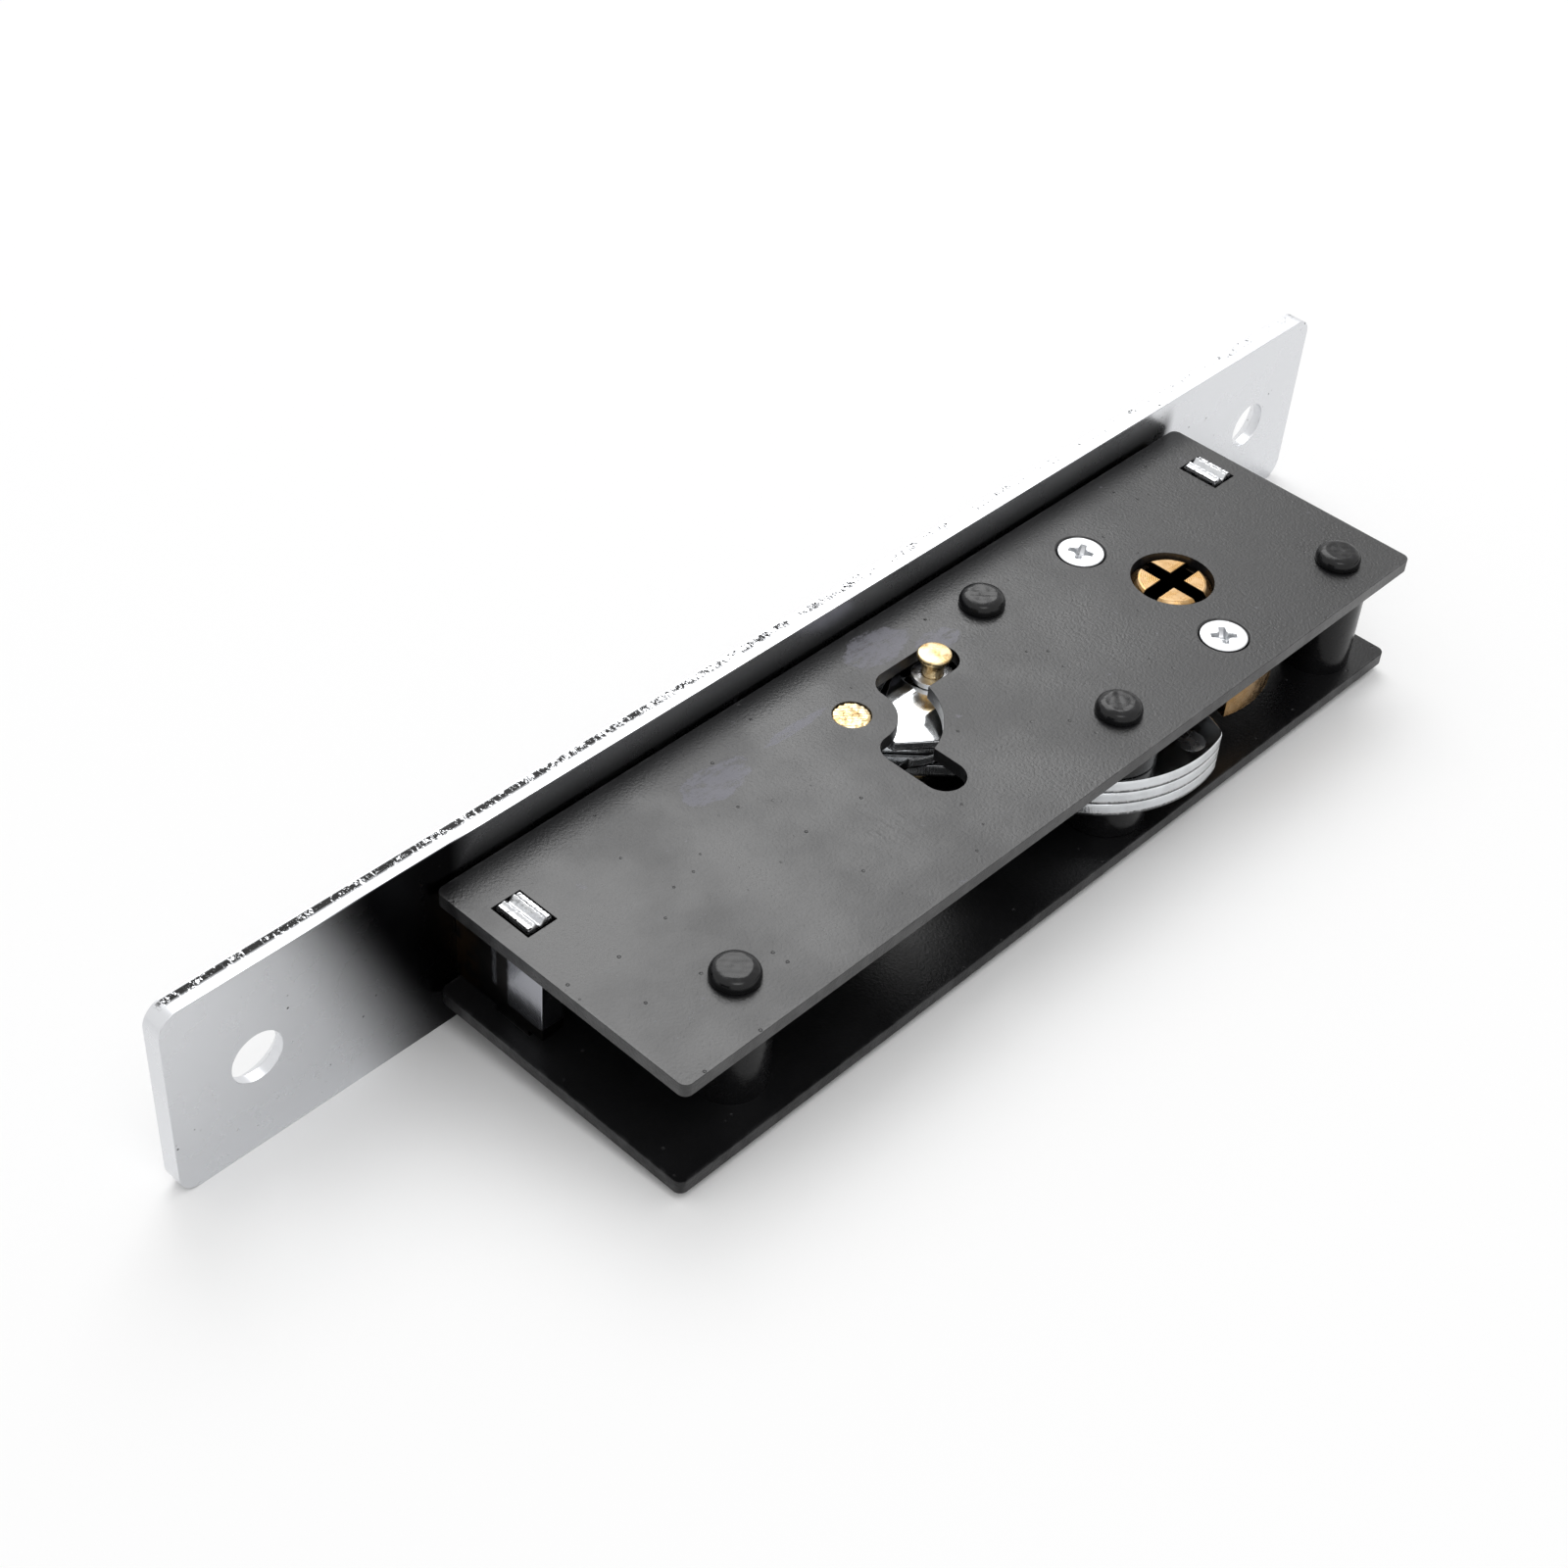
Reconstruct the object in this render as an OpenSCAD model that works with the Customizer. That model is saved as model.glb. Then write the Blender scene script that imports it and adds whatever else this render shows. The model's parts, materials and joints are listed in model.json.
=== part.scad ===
// Mortise hook lock for a sliding door, lying with its case flat.
// X runs along the faceplate, Y from the faceplate's back into the door, Z across the case.
// The origin is midway between the two fixing holes, on the faceplate's back.

/* [Faceplate] */
// Length of the faceplate
face_l = 220; // [205:1:250]
// Width of the faceplate
face_w = 30; // [26:0.5:36]
// Thickness of the faceplate
face_t = 3; // [2.5:0.25:4]
// Radius of the faceplate's corners
face_r = 3; // [1:0.5:6]
// Distance between the two fixing holes
fixing_pitch = 195; // [185:1:200]
// Diameter of the fixing holes at the back
fixing_d = 7.4; // [5:0.2:8]
// Diameter of the countersinks at the front
fixing_sink_d = 10.4; // [9:0.2:12]

/* [Case] */
// Length of the two case plates
case_l = 146; // [143:0.5:152]
// Depth of the two case plates
case_d = 42.8; // [42:0.2:50]
// Thickness of each case plate
plate_t = 2; // [1.5:0.1:2.5]
// Clear height between the plates
room = 15.2; // [14.6:0.1:18]
// Where the middle of the case lies along the faceplate
case_x = -2.3; // [-4:0.1:0]
// Gap between the plates and the faceplate
face_gap = 0.5; // [0.3:0.1:1]
// Radius of the plates' corners
case_r = 1.2; // [0.5:0.1:3]

/* [Rivets] */
// Diameter of the round spacers between the plates
spacer_d = 10; // [8:0.2:11]
// Diameter of the rivet neck through a plate
neck_d = 5; // [4:0.1:6]
// Diameter of a rivet head
head_d = 6.5; // [6.2:0.1:8]
// Height of a rivet head
head_h = 1.8; // [1:0.1:2.5]

/* [Hub] */
// Distance of the hub from the faceplate
hub_y = 23; // [22.5:0.1:23.5]
// Place of the hub along the faceplate
hub_x = -45.5; // [-46:0.1:-45.2]
// Diameter of the hub where it turns in the plates
hub_d = 11.8; // [10:0.1:12.4]
// Diameter of the hub between the plates
hub_core_d = 17.2; // [15:0.2:18]
// Radius of the hub's lobe
lobe_r = 16.2; // [15:0.1:16.6]
// Distance from the hub's axis to the middle of its finger tip
finger_r = 19; // [18.6:0.1:19.2]
// Diameter of the finger tip
finger_d = 4; // [3.4:0.1:4.4]
// Width of the crossed slots for the cylinder's tail
tail_slot_w = 2.2; // [1.6:0.1:2.6]
// Length of the crossed slots
tail_slot_l = 9.6; // [7:0.1:10]
// Distance between the two cylinder screws
cylinder_pitch = 25.3; // [23:0.1:27]

/* [Lever] */
// Place of the lever's pivot along the faceplate
lever_x = -17; // [-17.2:0.1:-16.8]
// Distance of the lever's pivot from the faceplate
lever_y = 35.8; // [35.6:0.1:36]
// Thickness of each steel ply in the lever and the hook
ply_t = 2; // [1.6:0.1:2.2]
// Reach of the lever's two jaws
jaw_r = 16.2; // [15.6:0.1:16.4]
// Reach of the lever's long arm
arm_r = 32.3; // [31.8:0.1:32.5]
// Radius of the lever's round back
back_r = 20.2; // [19.8:0.1:20.6]

/* [Hook] */
// Place of the hook's pivot along the faceplate
hook_x = 9.7; // [9.5:0.1:9.9]
// Distance of the hook's pivot from the faceplate
hook_y = 12.4; // [12.2:0.1:12.6]
// Reach of the hook from its pivot
hook_r = 35; // [32:0.5:38]
// Reach of the hook's throat from its pivot
throat_r = 25; // [22:0.5:27]
// Diameter of the brass pivot in the plates
pivot_d = 5.2; // [4.8:0.1:6]

/* [Locking pin] */
// Width of the guide slot in the plates
slot_w = 6; // [5.8:0.1:6.6]
// Radius of the guide slot's curved stretch about the hook's pivot
slot_in = 9.1; // [9:0.1:9.3]
// Radius at which the slot's locked end lies
slot_out = 17; // [16.8:0.1:17.4]
// Radius at which the slot's other end lies
slot_back = 16; // [15.8:0.1:17.4]
// Diameter of the pin's neck
pin_d = 3; // [2.6:0.1:3.1]
// Diameter of the pin's two heads
pin_head_d = 4.8; // [4:0.1:6]

/* [Hidden] */
$fn = 64;

eps = 0.01;
fit = 0.05;
slide = 0.1;
mid = room / 2;
top = mid + plate_t;
hub_at = [hub_x, hub_y];
lever_at = [lever_x, lever_y];
hook_at = [hook_x, hook_y];

// spacers between the plates
near_at = [54.3, 34.9];
front_at = [-20.9, 8.6];
far_at = [-66.8, 36.4];

// end brackets, each a leg with staked tabs and a foot on the faceplate
bracket_reach = case_l / 2 - 5.25;
leg_t = 3.6;
leg_l = 15.7;
foot_t = 3;
foot_l = 13;
tab_w = 5.6;
tab_y = 10.6;
tab_play = 0.5;
tab_proud = 0.5;
bend_r = 1.5;
foot_rivet_d = 4;
foot_rivet_head_d = 7;
foot_rivet_z = mid - 4;
foot_rivet_in = leg_t / 2 + foot_l / 2;

// opening in the faceplate that the hook swings through
mouth_w = 3 * ply_t + 1.8;
mouth_end_play = 2.2;
mouth_near_x = hook_x + sqrt(pow(hook_r, 2) - pow(hook_y, 2)) + mouth_end_play;
arm_front = 3.5;
mouth_far_x = hook_x - arm_front - mouth_end_play;

// hub and what holds it
lobe_from = 72;
lobe_to = 126;
finger_at = 44.2;
finger_neck_w = 2.4;
lobe_z = 3.5;
core_z = 5;
hub_low = 0.3;
hub_bevel = 1.1;
retainer_z = core_z + slide;
retainer_w = 20;
retainer_l = cylinder_pitch + 9;
screw_x = hub_x + 4.9;
screw_head_d = 6.7;
screw_seat_d = 7.5;
screw_d = 3.9;
screw_sink = 1.7;
screw_l = 5.4;
cross_w = 0.9;
cross_l = 4.2;
cross_deep = 1.2;

// lever
back_at = [-25, 24.9];
jaw_round = 2;
head_r = 13.5;
notch_at = 178.4;
notch_w = 5.8;
notch_r = 10.2;
arm_from = -80.4;
arm_to = -45;
pin_seat_r = 27.15;
pin_seat_at = -68.9;
pin_orbit = 1.44;
pin_start = 88.9;
window_r = pin_orbit + pin_d / 2 + 0.35;
bush_d = spacer_d + 2.4;
ply_rivet_d = 3;
ply_rivet_head_d = 4.4;
ply_rivet_head_h = 0.6;
lever_rivet_at = [[-9.2, 6.3], [-8.6, -7], [3, -10]];

// hook
arm_back = 9;
beak_at = -19;
eye_r = 6.8;
hook_shank_d = pivot_d - 0.6;
hook_bush_d = 7;
tail_at = [-12.4, -1.5];
tail_window_r = 6.4;
tail_wall = 2;
half_cut = 1;
tongue_z = ply_t / 2 - slide;
hook_outer_z = tongue_z + ply_t;
hook_rivet_at = [[12, 3], [22, 3], [31, -1]];

// pin
pin_gap = 0.1;
pin_head_t = 0.9;
washer_d = 5.8;
washer_t = 0.8;
washer_low = 0.6;

function polar(r, a) = [r * cos(a), r * sin(a)];

// centre of a small circle that touches two larger ones from inside
function inner_touch(c1, r1, c2, r2) =
    let (d = norm(c2 - c1), u = (c2 - c1) / d,
        a = (d * d + r1 * r1 - r2 * r2) / (2 * d),
        h = sqrt(r1 * r1 - a * a))
    c1 + a * u + h * [u[1], -u[0]] * -1;

module rounded(l, w, r) {
    square([l - 2 * r, w], center = true);
    square([l, w - 2 * r], center = true);
    for (sx = [-1, 1], sy = [-1, 1]) {
        translate([sx * (l / 2 - r), sy * (w / 2 - r)]) circle(r);
    }
}

module sector(r, from, to) {
    polygon(concat([[0, 0]], [for (i = [0:4]) polar(1.3 * r, from + (to - from) * i / 4)]));
}

// an extrusion between two heights
module slab(z0, z1) {
    translate([0, 0, z0]) linear_extrude(z1 - z0) children();
}

// the pin's path: out, round the hook's pivot and out again
module guide_slot() {
    translate(hook_at) {
        translate([-slot_out, -slot_w / 2]) square([slot_out - slot_in, slot_w]);
        translate([-slot_w / 2, slot_in]) square([slot_w, slot_back - slot_in]);
        for (p = [[-slot_in, 0], [-slot_out, 0], [0, slot_in], [0, slot_back]]) {
            translate(p) circle(slot_w / 2);
        }
        intersection() {
            difference() {
                circle(slot_in + slot_w / 2);
                circle(slot_in - slot_w / 2);
            }
            translate([-2 * slot_in, 0]) square(2 * slot_in);
        }
    }
}

module tab_hole(side) {
    translate([case_x + side * bracket_reach, tab_y])
        square([leg_t + 2 * tab_play, tab_w + 2 * tab_play], center = true);
}

module plate_shape() {
    difference() {
        translate([case_x, face_gap + case_d / 2]) rounded(case_l, case_d, case_r);
        guide_slot();
        tab_hole(1);
        tab_hole(-1);
        for (p = [near_at, front_at, far_at, lever_at]) {
            translate(p) circle(d = neck_d + 2 * fit);
        }
        translate(hook_at) circle(d = pivot_d + 2 * fit);
        translate(hub_at) circle(d = hub_d + 2 * fit);
    }
}

module screw_places() {
    for (s = [-1, 1]) {
        translate([screw_x, hub_y + s * cylinder_pitch / 2]) children();
    }
}

module case_base() {
    color([0.1, 0.1, 0.11]) difference() {
        slab(-top, -mid) plate_shape();
        screw_places() cylinder(d = screw_d + 2 * fit, h = 3 * top, center = true);
    }
}

module case_cover() {
    color([0.22, 0.22, 0.23]) difference() {
        slab(mid, top) plate_shape();
        screw_places() {
            translate([0, 0, mid - eps]) cylinder(d = screw_d + 2 * fit, h = plate_t + 2 * eps);
            translate([0, 0, top - screw_sink - fit])
                cylinder(d1 = screw_d + 2 * fit, d2 = screw_seat_d, h = screw_sink + fit + eps);
        }
    }
}

module faceplate() {
    color([0.85, 0.86, 0.88]) difference() {
        rotate([90, 0, 0]) linear_extrude(face_t) rounded(face_l, face_w, face_r);
        for (s = [-1, 1]) {
            translate([s * fixing_pitch / 2, eps, 0]) rotate([90, 0, 0]) {
                cylinder(d = fixing_d, h = face_t + 2 * eps);
                translate([0, 0, face_t / 2]) cylinder(d1 = fixing_d, d2 = fixing_sink_d, h = face_t / 2 + 2 * eps);
            }
        }
        translate([(mouth_near_x + mouth_far_x) / 2, eps, 0]) rotate([90, 0, 0])
            linear_extrude(face_t + 2 * eps) {
                square([mouth_near_x - mouth_far_x - mouth_w, mouth_w], center = true);
                for (s = [-1, 1]) {
                    translate([s * (mouth_near_x - mouth_far_x - mouth_w) / 2, 0]) circle(d = mouth_w);
                }
            }
        for (side = [-1, 1]) foot_rivet_places(side) foot_rivet(fit);
    }
}

module foot_rivet_places(side) {
    for (sz = [-1, 1]) {
        translate([case_x + side * (bracket_reach - foot_rivet_in), 0, sz * foot_rivet_z]) children();
    }
}

// countersunk rivet from the faceplate's front into a bracket's foot
module foot_rivet(grow = 0) {
    translate([0, foot_t + grow, 0]) rotate([90, 0, 0])
        cylinder(d = foot_rivet_d + 2 * grow, h = face_t + foot_t + grow);
    translate([0, -face_t + 1.6 + grow, 0]) rotate([90, 0, 0])
        cylinder(d1 = foot_rivet_d + 2 * grow, d2 = foot_rivet_head_d + 2 * grow, h = 1.6 + grow);
}

module bracket_rivets() {
    color([0.8, 0.81, 0.83]) for (side = [-1, 1]) foot_rivet_places(side) foot_rivet();
}

// leg with a foot bent inwards, and a staked tab at each end of the leg
module bracket(side) {
    color([0.75, 0.76, 0.78]) translate([case_x + side * bracket_reach, 0, 0]) difference() {
        union() {
            slab(-mid, mid) {
                translate([-leg_t / 2, 0]) square([leg_t, leg_l]);
                foot_shape(side);
            }
            for (s = [-1, 1]) {
                translate([0, tab_y, s * (mid + (plate_t + tab_proud) / 2)])
                    cube([leg_t, tab_w, plate_t + tab_proud + eps], center = true);
            }
        }
        for (s = [-1, 1]) {
            translate([0, tab_y, s * (top + tab_proud + 0.3)]) rotate([0, 45, 0])
                cube([1.4, tab_w + 1, 1.4], center = true);
            translate([-side * foot_rivet_in, foot_t + 1, s * foot_rivet_z]) rotate([90, 0, 0])
                cylinder(d = foot_rivet_d + 2 * fit, h = foot_t + 2);
        }
    }
}

module foot_shape(side) {
    mirror([side > 0 ? 1 : 0, 0]) {
        square([leg_t / 2 + foot_l, foot_t]);
        difference() {
            translate([leg_t / 2, foot_t]) square(bend_r);
            translate([leg_t / 2 + bend_r, foot_t + bend_r]) circle(bend_r);
        }
    }
}

module bracket_near() bracket(1);
module bracket_far() bracket(-1);

// turned spacer, riveted over the outside of both plates
module spacer(at) {
    color([0.13, 0.13, 0.14]) translate(at) {
        cylinder(d = spacer_d, h = room, center = true);
        cylinder(d = neck_d, h = 2 * top, center = true);
        for (s = [0, 1]) {
            mirror([0, 0, s]) translate([0, 0, top]) rotate_extrude()
                polygon([[0, 0], [head_d / 2, 0], [head_d / 2, 0.45 * head_h],
                    [0.45 * head_d, 0.8 * head_h], [0.34 * head_d, head_h], [0, head_h]]);
        }
    }
}

module spacer_near() spacer(near_at);
module spacer_front() spacer(front_at);
module spacer_far() spacer(far_at);
module lever_pivot() spacer(lever_at);

module ring(at, d_out, d_in, z0, z1) {
    translate(at) slab(z0, z1) difference() {
        circle(d = d_out);
        circle(d = d_in);
    }
}

module lever_bush(s) {
    color([0.14, 0.14, 0.15]) mirror([0, 0, s])
        ring(lever_at, bush_d, spacer_d + 2 * fit, 1.5 * ply_t + slide, mid);
}

module lever_bush_upper() lever_bush(0);
module lever_bush_lower() lever_bush(1);

// brass pivot, flush with both plates
module hook_pivot() {
    color([0.83, 0.68, 0.4]) translate(hook_at) {
        cylinder(d = hook_shank_d, h = room, center = true);
        for (s = [0, 1]) {
            mirror([0, 0, s]) translate([0, 0, mid - eps]) cylinder(d = pivot_d, h = plate_t + eps);
        }
    }
}

module hook_bush(s) {
    color([0.7, 0.71, 0.73]) mirror([0, 0, s])
        ring(hook_at, hook_bush_d, hook_shank_d + 2 * fit, 1.5 * ply_t + slide, mid - fit);
}

module hook_bush_upper() hook_bush(0);
module hook_bush_lower() hook_bush(1);

// plate under the cover that keeps the hub in place and takes the two screws
module hub_retainer() {
    color([0.7, 0.71, 0.73]) difference() {
        slab(retainer_z, mid) translate([screw_x - retainer_w / 2 + 4.9, hub_y])
            rounded(retainer_w, retainer_l, 3);
        translate(hub_at) cylinder(d = hub_d + 2 * fit, h = 3 * top, center = true);
        screw_places() cylinder(d = screw_d + fit, h = 3 * top, center = true);
    }
}

module hub_bush() {
    color([0.7, 0.71, 0.73]) ring(hub_at, hub_core_d, hub_d + 2 * fit, -mid, -retainer_z);
}

module cylinder_screw() {
    difference() {
        union() {
            translate([0, 0, top - screw_l]) cylinder(d = screw_d, h = screw_l);
            translate([0, 0, top - screw_sink]) cylinder(d1 = screw_d, d2 = screw_head_d, h = screw_sink);
        }
        translate([0, 0, top]) for (a = [20, 110]) {
            rotate([0, 0, a]) cube([cross_l, cross_w, 2 * cross_deep], center = true);
        }
    }
}

module cylinder_screw_front() {
    color([0.9, 0.9, 0.91]) translate([screw_x, hub_y - cylinder_pitch / 2]) cylinder_screw();
}

module cylinder_screw_rear() {
    color([0.9, 0.9, 0.91]) translate([screw_x, hub_y + cylinder_pitch / 2]) cylinder_screw();
}

// brass hub with a lobe, a finger that works the lever, and crossed slots for the cylinder's tail
module cam_hub() {
    color([0.83, 0.64, 0.33]) translate(hub_at) difference() {
        union() {
            cylinder(d = hub_core_d, h = 2 * core_z, center = true);
            for (s = [0, 1]) {
                mirror([0, 0, s]) rotate_extrude()
                    polygon([[0, 0], [hub_d / 2, 0], [hub_d / 2, top - hub_low - hub_bevel],
                        [hub_d / 2 - hub_bevel, top - hub_low], [0, top - hub_low]]);
            }
            slab(-lobe_z, lobe_z) {
                intersection() {
                    circle(lobe_r);
                    sector(lobe_r, lobe_from, lobe_to);
                }
                rotate(finger_at) {
                    translate([0, -finger_neck_w / 2]) square([finger_r, finger_neck_w]);
                    translate([finger_r, 0]) circle(d = finger_d);
                }
            }
        }
        for (a = [0, 90], s = [-1, 1]) {
            rotate([0, 0, a]) cube([tail_slot_l, tail_slot_w, 3 * top], center = true);
            rotate([0, 0, a]) translate([0, 0, s * (top + 1)])
                cube([hub_d + 1, tail_slot_w, 2 * (1 + hub_low + hub_bevel)], center = true);
        }
    }
}

// round-backed head with two jaws that take the hub's finger between them
module lever_head() {
    corner = inner_touch(back_at, back_r - jaw_round, lever_at, jaw_r - jaw_round);
    on_back = back_at + (corner - back_at) * back_r / (back_r - jaw_round);
    on_jaw = lever_at + (corner - lever_at) * jaw_r / (jaw_r - jaw_round);
    difference() {
        union() {
            difference() {
                intersection() {
                    translate(back_at) circle(back_r);
                    union() {
                        translate(lever_at) circle(head_r);
                        intersection() {
                            translate(lever_at) circle(jaw_r);
                            translate(lever_at + [-2 * jaw_r - 5, -head_r]) square(2 * jaw_r);
                        }
                    }
                }
                polygon([corner, on_back, corner + 3 * (on_back + on_jaw - 2 * corner), on_jaw]);
            }
            translate(corner) circle(jaw_round);
        }
        translate(lever_at) rotate(notch_at) {
            translate([notch_r, -notch_w / 2]) square([jaw_r, notch_w]);
            translate([notch_r, 0]) circle(d = notch_w);
        }
        translate(lever_at) circle(d = spacer_d + 2 * fit);
        for (p = lever_rivet_at) translate(lever_at + p) circle(d = ply_rivet_d + fit);
    }
}

// broad arm that carries the locking pin in a round window
module lever_arm() {
    difference() {
        translate(lever_at) intersection() {
            circle(arm_r);
            sector(arm_r, arm_from, arm_to);
        }
        translate(lever_at) circle(head_r - 1);
        translate(lever_at + polar(pin_seat_r, pin_seat_at)) circle(window_r);
        for (p = lever_rivet_at) translate(lever_at + p) circle(d = ply_rivet_d + fit);
    }
}

module lever_ply_outer(s) {
    color([0.8, 0.81, 0.82]) mirror([0, 0, s]) slab(ply_t / 2, 1.5 * ply_t) {
        lever_head();
        lever_arm();
    }
}

module lever_ply_upper() lever_ply_outer(0);
module lever_ply_lower() lever_ply_outer(1);

module lever_ply_middle() {
    color([0.76, 0.77, 0.78]) slab(-ply_t / 2, ply_t / 2) lever_head();
}

module ply_rivet(z) {
    cylinder(d = ply_rivet_d, h = 2 * z, center = true);
    for (s = [0, 1]) {
        mirror([0, 0, s]) translate([0, 0, z]) cylinder(d = ply_rivet_head_d, h = ply_rivet_head_h);
    }
}

module lever_rivets() {
    color([0.7, 0.7, 0.72]) for (p = lever_rivet_at) translate(lever_at + p) ply_rivet(1.5 * ply_t);
}

// hooked arm, from the pivot outwards, in the case's frame with the hook drawn in
module hook_arm() {
    intersection() {
        circle(hook_r);
        union() {
            translate([0, -arm_front]) square([hook_r, arm_front + arm_back]);
            difference() {
                sector(hook_r, beak_at, 0);
                circle(throat_r);
            }
        }
    }
}

module hook_holes() {
    circle(d = hook_shank_d + 2 * fit);
    for (p = hook_rivet_at) translate(p) circle(d = ply_rivet_d + fit);
}

module hook_ply_outer(s) {
    color([0.8, 0.81, 0.82]) mirror([0, 0, s]) translate(hook_at)
        slab(tongue_z, hook_outer_z) difference() {
            union() {
                hook_arm();
                intersection() {
                    circle(eye_r);
                    translate([-half_cut, -eye_r]) square(2 * eye_r);
                }
            }
            hook_holes();
        }
}

module hook_ply_upper() hook_ply_outer(0);
module hook_ply_lower() hook_ply_outer(1);

// the middle ply runs on behind the pivot as a tongue with a window for the locking pin
module hook_ply_middle() {
    color([0.76, 0.77, 0.78]) translate(hook_at) slab(-tongue_z, tongue_z) difference() {
        union() {
            hook_arm();
            circle(eye_r);
            translate(tail_at) circle(tail_window_r + tail_wall);
            translate([tail_at[0], tail_at[1] - tail_window_r]) square([-tail_at[0], 2 * tail_window_r]);
        }
        translate(tail_at) circle(tail_window_r);
        hook_holes();
    }
}

module hook_rivets() {
    color([0.7, 0.7, 0.72]) translate(hook_at) for (p = hook_rivet_at) translate(p)
        cylinder(d = ply_rivet_d, h = 2 * hook_outer_z, center = true);
}

pin_at = lever_at + polar(pin_seat_r, pin_seat_at) + polar(pin_orbit, pin_start);

// headed brass pin, drawn here at the end of the slot where it locks the hook in
module locking_pin() {
    color([0.85, 0.7, 0.42]) translate(pin_at) {
        cylinder(d = pin_d, h = 2 * (top + pin_gap + pin_head_t / 2), center = true);
        for (s = [0, 1]) {
            mirror([0, 0, s]) translate([0, 0, top + pin_gap]) cylinder(d = pin_head_d, h = pin_head_t);
        }
    }
}

module pin_washer(s) {
    color([0.86, 0.87, 0.88]) mirror([0, 0, s])
        ring(pin_at, washer_d, pin_d + fit, mid - washer_low - washer_t, mid - washer_low);
}

module pin_washer_upper() pin_washer(0);
module pin_washer_lower() pin_washer(1);

faceplate();
case_base();
case_cover();
spacer_near();
spacer_front();
spacer_far();
bracket_near();
bracket_far();
bracket_rivets();
hub_retainer();
hub_bush();
cylinder_screw_front();
cylinder_screw_rear();
lever_pivot();
lever_bush_upper();
lever_bush_lower();
hook_pivot();
hook_bush_upper();
hook_bush_lower();
cam_hub();
lever_ply_upper();
lever_ply_middle();
lever_ply_lower();
lever_rivets();
hook_ply_upper();
hook_ply_middle();
hook_ply_lower();
hook_rivets();
locking_pin();
pin_washer_upper();
pin_washer_lower();
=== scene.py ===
import json
import math
import bmesh
import bpy
import numpy as np
from mathutils import Matrix, Vector

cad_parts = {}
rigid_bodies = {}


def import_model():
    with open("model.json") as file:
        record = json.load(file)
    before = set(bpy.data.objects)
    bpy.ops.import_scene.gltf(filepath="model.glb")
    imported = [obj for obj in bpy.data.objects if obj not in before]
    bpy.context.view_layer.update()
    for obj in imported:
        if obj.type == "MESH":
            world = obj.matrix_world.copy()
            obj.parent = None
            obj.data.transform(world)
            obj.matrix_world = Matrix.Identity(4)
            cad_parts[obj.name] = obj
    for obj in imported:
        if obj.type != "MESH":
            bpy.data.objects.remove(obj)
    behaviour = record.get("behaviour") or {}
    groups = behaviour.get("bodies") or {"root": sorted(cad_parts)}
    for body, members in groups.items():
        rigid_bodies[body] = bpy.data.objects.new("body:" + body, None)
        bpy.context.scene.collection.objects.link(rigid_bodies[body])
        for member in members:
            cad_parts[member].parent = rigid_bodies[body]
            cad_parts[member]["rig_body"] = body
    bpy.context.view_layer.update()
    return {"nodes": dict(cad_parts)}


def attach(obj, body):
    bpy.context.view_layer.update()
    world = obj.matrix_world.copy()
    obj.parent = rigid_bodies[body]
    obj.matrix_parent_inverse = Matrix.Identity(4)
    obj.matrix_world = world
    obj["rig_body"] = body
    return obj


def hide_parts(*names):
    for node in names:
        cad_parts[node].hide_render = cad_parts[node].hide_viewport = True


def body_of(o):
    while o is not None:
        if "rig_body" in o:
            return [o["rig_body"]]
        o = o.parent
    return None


mm = 0.001
sharpFrom = 35.0  # degrees between faces, from which an edge is sharp
mergeWithin = 2e-6  # metres
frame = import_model()
print("frame loaded")


class Value:  # a node's output; + - * / ** add Math nodes
    def __init__(self, tree, socket):
        self.tree, self.socket = tree, socket

    def math(self, operation, *others):
        return self.tree.add("ShaderNodeMath", {"operation": operation}, dict(enumerate((self,) + others)))

    def __add__(self, other): return self.math("ADD", other)
    def __mul__(self, other): return self.math("MULTIPLY", other)
    def __sub__(self, other): return self.math("SUBTRACT", other)
    def __truediv__(self, other): return self.math("DIVIDE", other)
    def __pow__(self, other): return self.math("POWER", other)
    def __rsub__(self, other): return self.tree.add("ShaderNodeMath", {"operation": "SUBTRACT"}, {0: other, 1: self})
    __radd__, __rmul__ = __add__, __mul__

    def unsigned(self):
        return self.math("ABSOLUTE")

    def step(self, low, high, outLow=0.0, outHigh=1.0):  # smooth change from one value to another
        return self.tree.add("ShaderNodeMapRange", {"interpolation_type": "SMOOTHSTEP"},
                             {0: self, 1: low, 2: high, 3: outLow, 4: outHigh})

    def fade(self, low, high):  # 1 up to low, nothing from high
        return self.step(low, high, 1.0, 0.0)

    def band(self, start, full, last, end):  # 1 from full to last, nothing before start and after end
        return self.step(start, full) * self.fade(last, end)


class Tree:  # adds nodes to a material's or the world's node tree
    def __init__(self, owner):
        owner.use_nodes = True
        self.nodes, self.links = owner.node_tree.nodes, owner.node_tree.links
        self.nodes.clear()

    def add(self, kind, settings=None, sockets=None, out=0):
        node = self.nodes.new(kind)
        for key, value in (settings or {}).items():
            setattr(node, key, value)
        for key, value in (sockets or {}).items():
            if isinstance(value, Value):
                self.links.new(value.socket, node.inputs[key])
            else:
                node.inputs[key].default_value = value
        return Value(self, node.outputs[out]) if node.outputs else None

    def rays(self):  # is a ray the camera's own, mirrored, or let through
        outputs = self.add("ShaderNodeLightPath").socket.node.outputs
        return (Value(self, outputs[f"Is {kind} Ray"]) for kind in ("Camera", "Glossy", "Transmission"))


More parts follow.
